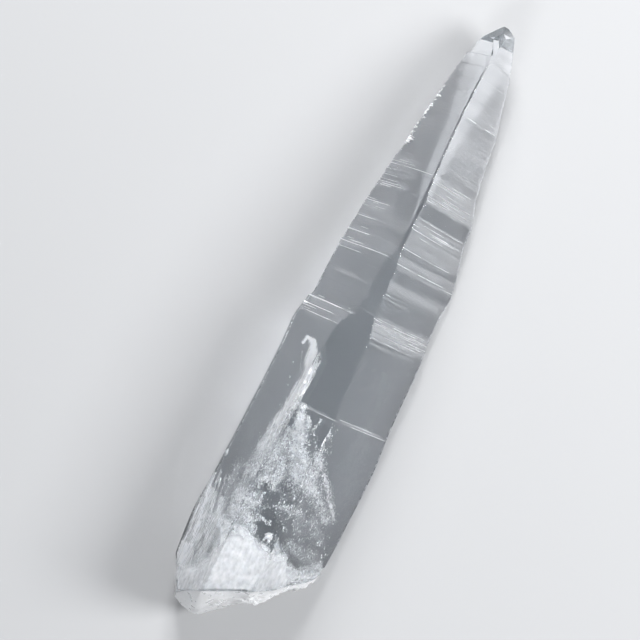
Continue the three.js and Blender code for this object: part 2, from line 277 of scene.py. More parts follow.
# frosted growth lines and bands: face, place, half width, where they start and end across the face (0 to 1), how
# strongly frosted (1 faint, 2 strong). Face 0 runs from its outer edge to B, and face 2 from B to its outer edge.
FROST = [
    (0, 120.50, 0.16, -0.1, 1.1, 2), (0, 118.95, 0.14, -0.1, 0.30, 2), (0, 119.70, 0.10, -0.1, 0.45, 1),
    (0, 114.10, 0.14, 0.06, 0.36, 2), (0, 109.05, 0.18, -0.1, 0.58, 2), (0, 108.30, 0.12, 0.02, 0.52, 1),
    (0, 107.70, 0.14, -0.1, 0.62, 2), (0, 106.70, 0.12, 0.00, 0.50, 1), (0, 105.90, 0.10, 0.03, 0.42, 1),
    (0, 104.60, 0.40, -0.1, 0.40, 1), (0, 104.20, 0.10, -0.1, 0.66, 2), (0, 102.90, 0.10, 0.05, 0.50, 1),
    (0, 101.20, 0.12, 0.00, 0.45, 1), (0, 99.70, 0.16, -0.1, 0.48, 2), (0, 98.90, 0.10, 0.02, 0.44, 1),
    (0, 97.60, 0.12, -0.1, 0.60, 1), (0, 96.05, 0.17, -0.1, 1.1, 2), (0, 95.40, 0.10, -0.1, 0.55, 1),
    (0, 88.00, 0.60, 0.15, 0.80, 1), (0, 138.30, 0.30, 0.10, 0.75, 1), (0, 133.00, 0.22, 0.05, 0.85, 1),
    (0, 78.70, 0.20, -0.1, 1.1, 2), (0, 77.60, 0.24, -0.1, 0.95, 1), (0, 76.60, 0.16, -0.1, 0.90, 2),
    (0, 75.50, 0.20, -0.1, 0.95, 1), (0, 74.65, 0.16, -0.1, 1.1, 2),
    (1, 51.45, 0.12, -0.1, 1.9, 2), (1, 51.95, 0.06, 0.1, 0.95, 1), (1, 96.05, 0.12, -0.1, 1.1, 1),
    (2, 51.45, 0.12, -0.1, 1.6, 2), (2, 52.10, 0.09, 0.05, 1.2, 2), (2, 51.80, 0.30, 0.2, 0.9, 1),
    (2, 145.30, 0.40, -0.1, 1.1, 1), (2, 144.50, 0.20, 0.1, 1.1, 1), (2, 142.40, 0.60, 0.0, 1.1, 1),
    (2, 138.60, 0.24, -0.1, 1.1, 2), (2, 137.80, 0.16, 0.2, 1.1, 1), (2, 136.40, 0.40, 0.1, 1.0, 1),
    (2, 120.30, 0.16, -0.1, 1.1, 2), (2, 119.50, 0.10, 0.15, 1.1, 2), (2, 118.70, 0.16, -0.1, 1.1, 2),
    (2, 117.60, 0.12, 0.2, 1.1, 2), (2, 116.50, 0.18, -0.1, 1.1, 2), (2, 115.70, 0.12, 0.3, 1.1, 2),
    (2, 114.90, 0.16, -0.1, 1.1, 2), (2, 114.30, 0.10, 0.0, 0.9, 2), (2, 113.70, 0.16, -0.1, 1.1, 2),
    (2, 117.20, 3.20, -0.1, 1.1, 1),
    (2, 108.60, 0.17, -0.1, 1.1, 2), (2, 107.50, 0.17, -0.1, 1.1, 2), (2, 106.40, 0.80, -0.1, 1.1, 1),
    (2, 105.30, 0.14, 0.0, 1.1, 2), (2, 104.00, 0.14, 0.15, 1.1, 2), (2, 103.40, 0.45, 0.0, 1.1, 1),
    (2, 99.90, 0.15, -0.1, 1.1, 2), (2, 101.40, 0.55, 0.1, 1.1, 1), (2, 96.60, 0.70, -0.1, 0.95, 1),
    (2, 95.40, 0.16, -0.1, 1.1, 2), (2, 94.90, 0.10, 0.3, 1.1, 2), (2, 89.60, 0.75, 0.0, 1.1, 1),
    (2, 80.40, 0.10, 0.0, 1.1, 2), (2, 79.90, 0.09, 0.0, 0.9, 2), (2, 79.40, 0.09, 0.1, 1.1, 2),
    (2, 78.90, 0.09, 0.0, 1.1, 2), (2, 78.50, 0.14, -0.1, 1.1, 2), (2, 77.70, 0.17, -0.1, 1.1, 2),
    (2, 77.20, 0.09, 0.0, 1.1, 2), (2, 76.70, 0.09, 0.2, 1.1, 2), (2, 76.20, 0.55, 0.0, 1.1, 1),
    (2, 75.20, 0.10, 0.0, 0.9, 2),
]

# faint frosting over longer stretches: face, from, to, share of the area that it covers. On face C, most of all along
# its upper part, the haze is partly real striation and partly painted sheen that makes that face lighter than A.
HAZE_AND_PAINTED_SHEEN = [
    (2, 122.0, 137.0, 0.40), (2, 138.5, 168.0, 0.46), (2, 113.6, 120.8, 0.34), (2, 105.6, 107.4, 0.30),
    (2, 100.8, 104.2, 0.28), (2, 94.6, 97.4, 0.28), (2, 88.4, 90.4, 0.26), (2, 75.6, 80.6, 0.26), (0, 122.0, 160.0, 0.08),
    (0, 103.6, 106.0, 0.18), (0, 95.6, 101.5, 0.12), (0, 74.4, 79.0, 0.20), (3, 76.0, 160.0, 0.06), (5, 76.0, 160.0, 0.06),
]


def more_lines():
    """Seeded fine lines between the named ones, denser where the face's growth lines are."""
    rng = np.random.default_rng(77)
    out = []
    for face, spans in FINE.items():
        for a, b, s in spans:
            count = int((b - a) * s * ({0: 3.2, 2: 2.4}.get(face, 0.9)))
            for _ in range(count):
                x = rng.uniform(a, b)
                if face == 2 and (109.2 < x < 113.2 or 90.6 < x < 93.8 or 81.5 < x < 86.5):
                    if rng.random() < 0.8:
                        continue
                if face == 0:
                    t0, t1 = rng.uniform(-0.1, 0.2), rng.uniform(0.25, 0.75)
                else:
                    t0 = rng.uniform(-0.3, 0.6)
                    t1 = t0 + rng.exponential(0.5) + 0.35
                out.append((face, x, rng.uniform(0.05, 0.09), t0, t1, 2 if rng.random() < 0.20 and x < 122 else 1))
    return out


ALL_LINES = FROST + more_lines()


def frost(face, x, t):
    """How frosted each place of a long face is, from 0, clear, to about 1.3. x holds the rows of the mesh, and t is one
    number. Each line is set on the row nearest to it, so that it runs unbroken across the face."""
    value = np.zeros(x.shape)
    if x.max() < 50:
        return value
    for f, at, half, t0, t1, strength in ALL_LINES:
        if f != face or not t0 - 0.06 < t < t1 + 0.06:
            continue
        middle = x[np.argmin(np.abs(x - at))]
        i = np.nonzero(np.abs(x - middle) < 2.2 * half + 0.12)[0]
        if not len(i) or abs(middle - at) > 0.5:
            continue
        far = (t - t0) / (t1 - t0)
        if face == 0:
            along = smooth(-0.04, 0.04, far) * (1 - 0.35 * smooth(0.50, 1.0, far)) * (1 - smooth(0.9, 1.02, far) * (t1 < 1))
        else:
            along = smooth(-0.04, 0.04, far) * (1 - smooth(0.78, 1.02, far))
        grain = 0.75 + 0.5 * noise2(t * 4.0 + at, x[i] * 0.6, 200 + int(at))
        across = np.exp(-(np.abs(x[i] - middle) / max(half, 0.085)) ** (2 if half < 0.3 else 4))
        value[i] = np.maximum(value[i], ((1.0 if face == 0 else 0.85) if strength == 2 else 0.38) * along * grain * across)
    # haze, which on face C is partly painted sheen
    for f, a, b, share in HAZE_AND_PAINTED_SHEEN:
        if f != face:
            continue
        edge = window(x, a, b, 1.1)
        patch = noise2(x * 3.1, t * 1.2, 230 + f) * 0.3 + noise2(x * 0.6, t * 0.9, 231 + f) * 0.4 \
            + noise2(x * 7.0, t * 1.8, 232 + f) * 0.3
        value = np.maximum(value, edge * share * (0.55 + 0.8 * smooth(0.2, 0.8, patch)))
    return value


def distances(x, fine=True):
    """How far each long face stands from the axis, for each place in x."""
    h = np.empty((len(x), 6))
    for i in range(6):
        h[:, i] = np.interp(x, *STEPPED[i]) if i in STEPPED else np.interp(x, LEVELS[:, 0], LEVELS[:, i + 1])
        if fine:
            h[:, i] -= fine_lines(i, x)
    for i in (1, 3, 5):
        h[:, i] = np.minimum(h[:, i], h[:, i - 1] + h[:, (i + 1) % 6] - NARROWEST * SIN60)
    return h


def corners(x, fine=True):
    """The section's six corners (y, z) for each place in x: corner i lies between face i and the next."""
    h = distances(np.atleast_1d(np.asarray(x, float)), fine)
    out = np.empty((len(h), 6, 2))
    for i in range(6):
        j = (i + 1) % 6
        (c1, s1), (c2, s2) = NORMALS[i], NORMALS[j]
        out[:, i, 0] = (h[:, i] * s2 - h[:, j] * s1) / SIN60
        out[:, i, 1] = (h[:, j] * c1 - h[:, i] * c2) / SIN60 + AXIS_HEIGHT
    return out


# ---------------------------------------------------------------- the broken base


CORNERS_AT_BASE = corners(0.0, False)[0]


def top_height(y):
    (aby, abz), (bcy, bcz) = CORNERS_AT_BASE[0], CORNERS_AT_BASE[1]
    slope = math.tan(math.pi / 3)
    return np.where(y > aby, abz - slope * (y - aby), np.where(y < bcy, bcz - slope * (bcy - y), bcz))


def break_at(y, z, rough=1.0):
    front = np.interp(y, BREAK[:, 0], BREAK[:, 1])
    low = np.interp(y, BREAK[:, 0], BREAK[:, 2])
    w = np.clip(z / np.maximum(top_height(y), 4), 0, 1)
    g = np.where(w > BREAK_BULGE, 1 - ((w - BREAK_BULGE) / (1 - BREAK_BULGE)) ** 2,
                 1 - 0.22 * ((BREAK_BULGE - w) / BREAK_BULGE) ** 2)
    r = np.hypot(y - 19, z - 24)
    fade = np.minimum(1, (1 - w) * 4)
    x = front + (low - front) * g + 0.22 * fade * (np.sin(r * 1.15) + 0.6 * np.sin(r * 2.3 + y * 0.4))
    if rough:
        # the shell-like break is smooth on the left, and hackly towards the right
        ragged = smooth(4.0, -6.0, y)
        gentle = noise2(y * 0.9 + 3, z * 0.9, 21) + 0.5 * noise2(y * 2.1, z * 2.1, 22)
        fine = gentle + 0.25 * noise2(y * 4.7, z * 4.7, 23)
        step = np.floor(noise2(y * 0.42 + 9, z * 0.5, 24) * 6) / 6
        x = x + rough * fade * (ragged * (1.1 * (fine - 0.87) + 1.5 * (step - 0.42)) + 0.10 * (gentle - 0.75)
                                + 0.05 * np.sin(r * 4.1 + 0.7 * np.sin(y * 0.8)))
    return np.maximum(x, LOWEST + 0.15 * noise2(y * 1.3, z * 1.3, 25))


# ---------------------------------------------------------------- the fine body

ACROSS = {0: 18, 1: 5, 2: 18, 3: 5, 4: 12, 5: 5}      # points across the inside of each long face
BEVEL_POINTS = 4                                       # points across each worn edge

# how worn each edge is: spans along the axis, width of the wear in mm, how ragged it is (0 to 1). The short wide patch
# on B|C from 130.0 to 131.6 is no wear but a painted glint, a white worn patch put where the edge glints.
WEAR_AND_PAINTED_GLINT = {
    0: [(58.5, 61.5, 0.22, 0.9), (52.6, 57.0, 0.20, 0.9), (64.5, 70.5, 0.10, 0.8)],
    # on B|C the span from 130.0 to 131.6 is a painted glint, not wear
    1: [(36, 50.5, 0.09, 0.9), (130.0, 131.6, 0.16, 0.8)],
    2: [(52, 98, 0.08, 0.1), (98, 160, 0.12, 0.6)],
    3: [(20, 160, 0.12, 0.5)],
    4: [(20, 160, 0.12, 0.5)],
    5: [(74, 96, 0.10, 0.15), (124.2, 130.4, 3.6, 0.9), (131.8, 145.0, 2.4, 0.9), (146, 150, 0.5, 0.8)],
}


def wear_and_painted_glint(corner, x):
    """(width, raggedness) of the worn edge at each place along it; the patch on B|C near 130 is a painted glint."""
    width = (0.010 if corner < 2 else 0.022) + 0.008 * noise1(x * 0.9, 60 + corner)
    rag = np.full_like(x, 0.15)
    for a, b, size, ragged in WEAR_AND_PAINTED_GLINT[corner]:
        m = window(x, a, b, 0.5)
        lump = noise1(x * 1.6, 70 + corner) * 0.6 + noise1(x * 4.1, 80 + corner) * 0.4
        width = width + m * size * (1 - ragged + ragged * np.clip(2.2 * lump - 0.5, 0, 1.5))
        rag = np.maximum(rag, m * ragged)
    return width, rag


def stations():
    xs = [np.arange(BASE_TOP + 0.5, 50.2, 0.9), np.arange(50.2, 52.6, 0.15), np.arange(53.0, 73.0, 0.6),
          np.arange(73.0, 123.5, 0.135), np.arange(123.5, 146.0, 0.18), np.arange(146.0, 165.0, 0.25),
          np.arange(165.0, 172.5, 0.5)]
    xs = np.concatenate(xs + [s[0][s[0] > BASE_TOP + 0.6] for s in STEPPED.values()])
    xs = np.sort(xs)
    keep = [xs[0]]
    breaks = np.concatenate([s[0] for s in STEPPED.values()])
    for x in xs[1:]:
        exact = np.min(np.abs(breaks - x)) < 1e-6
        if x - keep[-1] > 0.06:
            keep.append(x)
        elif exact:
            keep[-1] = x
    return np.array(keep)


def body_points(x, wobble=True):
    """The closed rings of the body at the places in x, as an array (rings, around, 3)."""
    n = len(x)
    c = corners(x)
    columns, shares = [], []
    for i in range(6):
        a, b = c[:, (i + 5) % 6], c[:, i]
        width = np.linalg.norm(b - a, axis=1)
        w0, r0 = wear_and_painted_glint((i + 5) % 6, x)
        w1, r1 = wear_and_painted_glint(i, x)
        e0 = np.minimum(w0 / width, 0.30)
        e1 = np.minimum(w1 / width, 0.30)
        count = ACROSS[i] + 2
        t = np.linspace(0, 1, count)
        t = 0.5 * t + 0.5 * (0.5 - 0.5 * np.cos(np.pi * t))
        for k in range(count):
            w = e0 + (1 - e0 - e1) * t[k]
            yz = a + w[:, None] * (b - a)
            inset = np.zeros(n)
            if 0 < k < count - 1:
                # fine lines that reach only part of the way across
                part = fine_strength(i, x)
                lateral = np.sin(np.pi * t[k]) ** 0.35
                g = noise2(x * 3.1, t[k] * 1.7 + 5, 100 + i) + 0.6 * noise2(x * 6.3, t[k] * 2.6, 110 + i)
                inset = 0.035 * part * lateral * np.clip(g - 0.85, 0, 1)
                inset = inset + 0.012 * noise2(x * 0.35, t[k] * 3 + i, 120 + i)
                inset = inset + 0.005 * lateral * frost(i, x, float(t[k]))
            yz = yz - inset[:, None] * NORMALS[i]
            columns.append(yz)
            shares.append((i, t[k]))
        # across the worn edge to the next face
        j = (i + 1) % 6
        nxt = c[:, j]
        width2 = np.linalg.norm(nxt - b, axis=1)
        e2 = np.minimum(w1 / width2, 0.30)
        start = a + (1 - e1)[:, None] * (b - a)
        end = b + e2[:, None] * (nxt - b)
        out = NORMALS[i] + NORMALS[j]
        out = out / np.linalg.norm(out)
        for k in range(1, BEVEL_POINTS - 1):
            s = k / (BEVEL_POINTS - 1)
            yz = start + s * (end - start)
            bump = noise2(x * 3.7, k * 3.3 + i * 5, 130) - 0.35
            depth = r1 * w1 * 0.45 * bump
            yz = yz - depth[:, None] * out
            columns.append(yz)
            shares.append((i + 0.5, s))
    yz = np.stack(columns, 1)
    xx = np.repeat(x[:, None], yz.shape[1], 1)
    if wobble:
        fade = window(x, 66, 158, 6)[:, None]
        xx = xx + fade * (0.12 * np.sin(yz[..., 0] * 0.22 + 0.9 * np.sin(x[:, None] * 0.13))
                          + 0.02 * np.sin(yz[..., 0] * 0.83 + yz[..., 1] * 0.2 + x[:, None] * 0.05))
    return np.concatenate([xx[..., None], yz], 2), shares


def make_body():
    xs = stations()
    rings, shares = body_points(xs)
    around = rings.shape[1]

    # the rim of the break, found by walking each line of the body down to the break
    rim = np.zeros(around)
    for _ in range(60):
        place = body_points(rim, False)[0]
        y, z = place[np.arange(around), np.arange(around), 1], place[np.arange(around), np.arange(around), 2]
        rim = 0.5 * rim + 0.5 * break_at(y, z)
    lower = []
    count = 30
    for k in range(count):
        s = k / count
        x = rim + (BASE_TOP - rim) * s
        place = body_points(x, False)[0]
        lower.append(place[np.arange(around), np.arange(around)])
        lower[-1][:, 0] = x
    rings = np.concatenate([np.array(lower), rings])
    rows = np.concatenate([np.array(lower)[:, :, 0], np.repeat(xs[:, None], around, 1)])
    points = list(rings.reshape(-1, 3))
    faces, kinds = [], []
    total = len(rings)
    level = np.zeros((total - 1, around), int)
    frosting = np.zeros((total, around))
    for n, (face, share) in enumerate(shares):
        if face % 1 == 0:
            frosting[:, n] = frost(int(face), rows[:, n], float(share))
    xm = 0.5 * (rings[1:, :, 0] + rings[:-1, :, 0])
    for n in range(around):
        m = (n + 1) % around
        a, b = shares[n][0], shares[m][0]
        if a != b or a % 1:
            width, rag = wear_and_painted_glint(int(a), xm[:, n])
            chance = hashed((xm[:, n] * 3.1).astype(np.int64) + n * 31, 90)
            # a wide worn edge takes the frosted white worn finish; on B|C near 130 that white patch is a painted glint
            level[:, n] = np.where((width > 0.11) & (chance < 0.25 + 0.6 * rag), 1, 0)
    for k in range(total - 1):
        for n in range(around):
            m = (n + 1) % around
            faces.append((k * around + n, k * around + m, (k + 1) * around + m, (k + 1) * around + n))
            kinds.append(int(level[k, n]))
    # the break
    ring = rings[0]
    middle = ring[:, 1:].mean(0)
    outer = list(range(around))
    steps = 64
    for k in range(1, steps):
        s = 1 - k / steps
        yz = middle + s * (ring[:, 1:] - middle)
        x = break_at(yz[:, 0], yz[:, 1])
        base = len(points)
        points.extend(np.column_stack([x, yz]))
        inner = list(range(base, base + around))
        for n in range(around):
            m = (n + 1) % around
            faces.append((outer[m], outer[n], inner[n], inner[m]))
            kinds.append(2)
        outer = inner
    hub = len(points)
    points.append(np.array([float(break_at(middle[0], middle[1])), *middle]))
    for n in range(around):
        faces.append((outer[(n + 1) % around], outer[n], hub))
        kinds.append(2)
    # the cut end beyond the tip, which the tip's facets trim away
    last = (total - 1) * around
    faces.append(tuple(last + n for n in range(around)))
    kinds.append(0)
    cover = np.zeros(len(points))
    cover[:total * around] = frosting.ravel()
    return np.array(points), faces, kinds, cover


# ---------------------------------------------------------------- meshes


def to_mesh(name, points, faces, kinds=None, raw=True):
    mesh = bpy.data.meshes.new(name)
    pts = (np.asarray(points) - (ORIGIN if raw else 0)) * MM
    mesh.from_pydata([tuple(p) for p in pts], [], faces)
    if kinds is not None:
        mesh.polygons.foreach_set("material_index", np.array(kinds, np.int32))
    mesh.update()
    ob = bpy.data.objects.new(name, mesh)
    bpy.context.scene.collection.objects.link(ob)
    return ob


points, faces, kinds, cover = make_body()
crystal = to_mesh("crystal", points, faces, kinds)
crystal.data.attributes.new("cover", "FLOAT", "POINT").data.foreach_set("value", cover.astype(np.float32))

bm = bmesh.new()
bm.from_mesh(crystal.data)
bmesh.ops.recalc_face_normals(bm, faces=bm.faces)
for nx, ny, nz, d in TRIMS:
    normal = np.array([nx, ny, nz])
    size = np.linalg.norm(normal)
    normal = normal / size
    at = (normal * d / size - ORIGIN) * MM
    near = 0.0 if nx > 0 else -1.0
    if nx > 0:
        geom = [g for g in bm.verts if g.co.x > (140 - ORIGIN[0]) * MM]
        verts = set(geom)
        edges = [e for e in bm.edges if e.verts[0] in verts or e.verts[1] in verts]
        fcs = [f for f in bm.faces if any(v in verts for v in f.verts)]
    else:
        geom = [g for g in bm.verts if g.co.x < (40 - ORIGIN[0]) * MM]
        verts = set(geom)
        edges = [e for e in bm.edges if e.verts[0] in verts or e.verts[1] in verts]
        fcs = [f for f in bm.faces if any(v in verts for v in f.verts)]
    bmesh.ops.bisect_plane(bm, geom=geom + edges + fcs, dist=1e-8, plane_co=Vector(at), plane_no=Vector(normal),
                           clear_outer=True, clear_inner=False)
    rim = [e for e in bm.edges if e.is_boundary]
    filled = bmesh.ops.holes_fill(bm, edges=rim, sides=0)["faces"]
    for f in filled:
        f.material_index = 0
        f.normal_update()
        if f.normal.dot(Vector(normal)) < 0:
            f.normal_flip()
bmesh.ops.remove_doubles(bm, verts=bm.verts, dist=2e-6)
bmesh.ops.dissolve_degenerate(bm, edges=bm.edges, dist=1e-7)
bmesh.ops.triangulate(bm, faces=bm.faces)
bm.to_mesh(crystal.data)
bm.free()


# ---------------------------------------------------------------- chips


def chip(x, corner, depth, length, seed):
    rng = np.random.default_rng(seed)
    y, z = corners(x, False)[0][corner]
    outward = Vector((0, y, z - AXIS_HEIGHT)).normalized()
    outward = (outward + Vector((rng.uniform(-0.3, 0.3), 0, 0))).normalized()
    b = bmesh.new()
    bmesh.ops.create_icosphere(b, subdivisions=3, radius=1.0)
    radius = 1.7 * depth
    turn = Vector((0, 0, 1)).rotation_difference(outward).to_matrix()
    centre = Vector((x, y, z)) + outward * (radius - depth)
    co = np.array([v.co[:] for v in b.verts])
    swell = 1 + 0.28 * (noise3(co * 1.7 + seed, 300 + seed) - 0.5) + 0.10 * (noise3(co * 4.3 + seed, 301 + seed) - 0.5)
    for v, s in zip(b.verts, swell):
        p = Vector((v.co.x * length / 2, v.co.y * radius * 1.25, v.co.z * radius)) * float(s)
        v.co = (turn @ p + centre - Vector(ORIGIN)) * MM
    mesh = bpy.data.meshes.new("chip")
    b.to_mesh(mesh)
    b.free()
    for p in mesh.polygons:
        p.material_index = 1
    ob = bpy.data.objects.new("chip", mesh)
    bpy.context.scene.collection.objects.link(ob)
    return ob


def cut(body, cutters):
    """Takes the cutters, which don't touch each other, out of the body."""
    b = bmesh.new()
    for c in cutters:
        b.from_mesh(c.data)
    joined = bpy.data.meshes.new("chips")
    b.to_mesh(joined)
    b.free()
    for name in SLOTS:
        joined.materials.append(bpy.data.materials[name])
    ob = bpy.data.objects.new("chips", joined)
    bpy.context.scene.collection.objects.link(ob)
    for c in cutters:
        bpy.data.objects.remove(c)
    m = body.modifiers.new("cut", "BOOLEAN")
    m.operation = "DIFFERENCE"
    m.solver = "MANIFOLD"
    m.object = ob
    m.material_mode = "INDEX"
    deps = bpy.context.evaluated_depsgraph_get()
    new = bpy.data.meshes.new_from_object(body.evaluated_get(deps), preserve_all_data_layers=True, depsgraph=deps)
    body.modifiers.remove(m)
    old = body.data
    body.data = new
    bpy.data.meshes.remove(old)
    bpy.data.objects.remove(ob)




def blank(name):
    m = bpy.data.materials.new(name)
    m.use_nodes = True
    return m


SLOTS = ("clear_quartz", "worn_quartz", "broken_quartz")
for name in SLOTS:
    crystal.data.materials.append(blank(name))
cutters = []
for k, (x, corner, depth, length) in enumerate(CHIPS):
    c = chip(x, corner, depth, length, 500 + k)
    for name in SLOTS:
        c.data.materials.append(bpy.data.materials[name])
    cutters.append(c)
cut(crystal, cutters)

# the envelope is the frame's own box
co = np.empty(len(crystal.data.vertices) * 3, np.float32)
crystal.data.vertices.foreach_get("co", co)
low, high = (np.array(v, np.float32) for v in cad_box)
crystal.data.vertices.foreach_set("co", np.clip(co.reshape(-1, 3), low, high).ravel())
crystal.data.update()

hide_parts(CRYSTAL)
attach(crystal, "root")

# ---------------------------------------------------------------- the camera

VIEW_BACK = Vector((0.0, -0.06105, 0.99813)).normalized()
VIEW_UP = Vector((0.9051, 0.4243, 0.0260))
VIEW_RIGHT = VIEW_UP.cross(VIEW_BACK).normalized()
VIEW_UP = VIEW_BACK.cross(VIEW_RIGHT).normalized()
VIEW_TARGET = Vector((-3.21, 10.12, 14.08))
VIEW_FROM = VIEW_TARGET + VIEW_BACK * 666.5
LENS, SENSOR = 140.625, 36.0

# ---------------------------------------------------------------- what is sealed in the crystal


def hull():
    """The envelope without its steps, as a closed mesh to find places inside the crystal with."""
    xs = np.concatenate([np.arange(-13.0, 171.0, 2.0)])
    h = np.stack([np.interp(xs, LEVELS[:, 0], LEVELS[:, i + 1]) for i in range(6)], 1)
    for i in (1, 3, 5):
        h[:, i] = np.minimum(h[:, i], h[:, i - 1] + h[:, (i + 1) % 6] - NARROWEST * SIN60)
    pts = []
    for k, x in enumerate(xs):
        for i in range(6):
            j = (i + 1) % 6
            (c1, s1), (c2, s2) = NORMALS[i], NORMALS[j]
            pts.append(((x - ORIGIN[0]), (h[k, i] * s2 - h[k, j] * s1) / SIN60 - ORIGIN[1],
                        (h[k, j] * c1 - h[k, i] * c2) / SIN60 + AXIS_HEIGHT))
    quads = [(6 * k + i, 6 * k + (i + 1) % 6, 6 * k + 6 + (i + 1) % 6, 6 * k + 6 + i)
             for k in range(len(xs) - 1) for i in range(6)]
    quads += [tuple(range(5, -1, -1)), tuple(range(6 * len(xs) - 6, 6 * len(xs)))]
    return BVHTree.FromPolygons([Vector(q) for q in pts], quads)


HULL = hull()


def sight(u, v):
    """The line of sight through a place in the main view (640 by 640) once it has bent into the crystal: where it
    enters, its direction inside and how far it runs before it leaves."""
    d = (-VIEW_BACK + VIEW_RIGHT * ((u - 320) / 320 * SENSOR / 2 / LENS)
         + VIEW_UP * ((320 - v) / 320 * SENSOR / 2 / LENS)).normalized()
    hit, normal, _, _ = HULL.ray_cast(VIEW_FROM, d)
    if hit is None:
        return None
    if normal.dot(d) > 0:
        normal = -normal
    c = -normal.dot(d)
    eta = 1 / 1.544
    inner = (eta * d + (eta * c - math.sqrt(1 - eta * eta * (1 - c * c))) * normal).normalized()
    out, _, _, run = HULL.ray_cast(hit + inner * 0.05, inner)
    return hit, inner, (run if out is not None else 6.0)


def inside(u, v, depth, margin=0.9):
    """The place inside the crystal that shows at (u, v) in the main view, at a share of the way through it."""
    s = sight(u, v)
    if s is None:
        return None
    hit, inner, run = s
    if run < 2 * margin + 0.2:
        return None
    far = min(max(depth * run, margin), run - margin)
    at = hit + inner * far
    # behind the break and outside the trimmed facets there is no crystal
    raw = np.array(at) + ORIGIN
    for nx, ny, nz, d in TRIMS:
        if nx * raw[0] + ny * raw[1] + nz * raw[2] > d - margin:
            return None
    if at.x + ORIGIN[0] < 16 and at.x + ORIGIN[0] < float(break_at(at.y + ORIGIN[1], at.z)) + (0.35 if at.y + ORIGIN[1] > 5 else 0.6):
        return None
    return at


def plates(name, centres, along, across, lengths, widths, thick, seed, sides=6):
    """Thin, uneven, closed plates: one for each centre, lengthwise along one direction."""
    n = len(centres)
    rng = np.random.default_rng(seed)
    c = np.asarray(centres, float)
    a = np.asarray(along, float)
    a /= np.linalg.norm(a, axis=1, keepdims=True)
    b = np.asarray(across, float)
    b = b - (b * a).sum(1, keepdims=True) * a
    b /= np.linalg.norm(b, axis=1, keepdims=True)
    up = np.cross(a, b)
    angle = (np.arange(sides) + rng.uniform(-0.3, 0.3, (n, sides))) * 2 * np.pi / sides
    radius = rng.uniform(0.55, 1.0, (n, sides))
    rim = (c[:, None] + (radius * np.cos(angle) * np.asarray(lengths)[:, None] / 2)[..., None] * a[:, None]
           + (radius * np.sin(angle) * np.asarray(widths)[:, None] / 2)[..., None] * b[:, None])
    rim = rim + up[:, None] * (rng.uniform(-0.5, 0.5, (n, sides)) * np.asarray(thick)[:, None])[..., None]
    top = c + up * np.asarray(thick)[:, None]
    low = c - up * np.asarray(thick)[:, None]
    pts = np.concatenate([rim, top[:, None], low[:, None]], 1).reshape(-1, 3)
    k = np.arange(sides)
    one = np.concatenate([np.stack([k, (k + 1) % sides, np.full(sides, sides)], 1),
                          np.stack([(k + 1) % sides, k, np.full(sides, sides + 1)], 1)])
    tris = (one[None] + (np.arange(n) * (sides + 2))[:, None, None]).reshape(-1, 3)
    mesh = bpy.data.meshes.new(name)
    mesh.vertices.add(len(pts))
    mesh.vertices.foreach_set("co", (pts * MM).astype(np.float32).ravel())
    mesh.loops.add(len(tris) * 3)
    mesh.loops.foreach_set("vertex_index", tris.astype(np.int32).ravel())
    mesh.polygons.add(len(tris))
    mesh.polygons.foreach_set("loop_start", (np.arange(len(tris)) * 3).astype(np.int32))
    mesh.update(calc_edges=True)
    mesh.validate()
    ob = bpy.data.objects.new(name, mesh)
    bpy.context.scene.collection.objects.link(ob)
    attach(ob, "root")
    return ob


def unit(rng, n):
    v = rng.normal(size=(n, 3))
    return v / np.linalg.norm(v, axis=1, keepdims=True)


AXIS_ON_VIEW = np.array([0.4251, -0.9051])      # the crystal's axis in the main view, and the direction across it
ACROSS_VIEW = np.array([0.9051, 0.4251])


def curve(points, s):
    """A place along an open line through the points, and its direction, for s from 0 to 1."""
    p = np.array(points, float)
    d = np.concatenate([[0], np.cumsum(np.linalg.norm(np.diff(p[:, :2], axis=0), axis=1))])
    d /= d[-1]
    q = np.array([np.interp(s, d, p[:, k]) for k in range(p.shape[1])])
    e = np.array([np.interp(min(s + 0.02, 1), d, p[:, k]) - np.interp(max(s - 0.02, 0), d, p[:, k])
                  for k in range(p.shape[1])])
    return q, e[:2] / (np.linalg.norm(e[:2]) + 1e-9)


class Veil:
    """Collects plates for one piece."""

    def __init__(self, name, seed):
        self.name, self.seed = name, seed
        self.rng = np.random.default_rng(seed)
        self.rows = []

    def add(self, u, v, depth, heading, length, width, thick, tilt=0.35, margin=0.9):
        at = inside(u, v, depth, margin)
        if at is None:
            return
        step = inside(u + heading[0] * 1.5, v + heading[1] * 1.5, depth, margin)
        if step is None or (step - at).length > 3 or (step - at).length < 1e-4:
            along = np.array([1.0, 0.0, 0.0])
        else:
            along = np.array((step - at).normalized())
        along = along + self.rng.normal(size=3) * tilt * 0.35
        facing = np.array([0.0, 0.0, 1.0]) + self.rng.normal(size=3) * tilt
        across = np.cross(facing, along)
        self.rows.append((np.array(at), along, across, length, width, thick))

    def build(self, sides=6):
        c, a, b, l, w, t = (np.array([r[k] for r in self.rows]) for k in range(6))
        return plates(self.name, c, a, b, l, w, t, self.seed + 1, sides)


def strokes(u, v, table):
    """How dense a veil is at places in the view: the strongest of some soft strokes. Each stroke is a line, its width
    at either end and its strength."""
    best = np.zeros(np.broadcast(u, v).shape)
    for x0, y0, x1, y1, w0, w1, strength in table:
        dx, dy = x1 - x0, y1 - y0
        s = np.clip(((u - x0) * dx + (v - y0) * dy) / (dx * dx + dy * dy), 0, 1)
        r = np.hypot(u - x0 - s * dx, v - y0 - s * dy) / (w0 + s * (w1 - w0))
        best = np.maximum(best, strength * np.exp(-r * r))
    return best


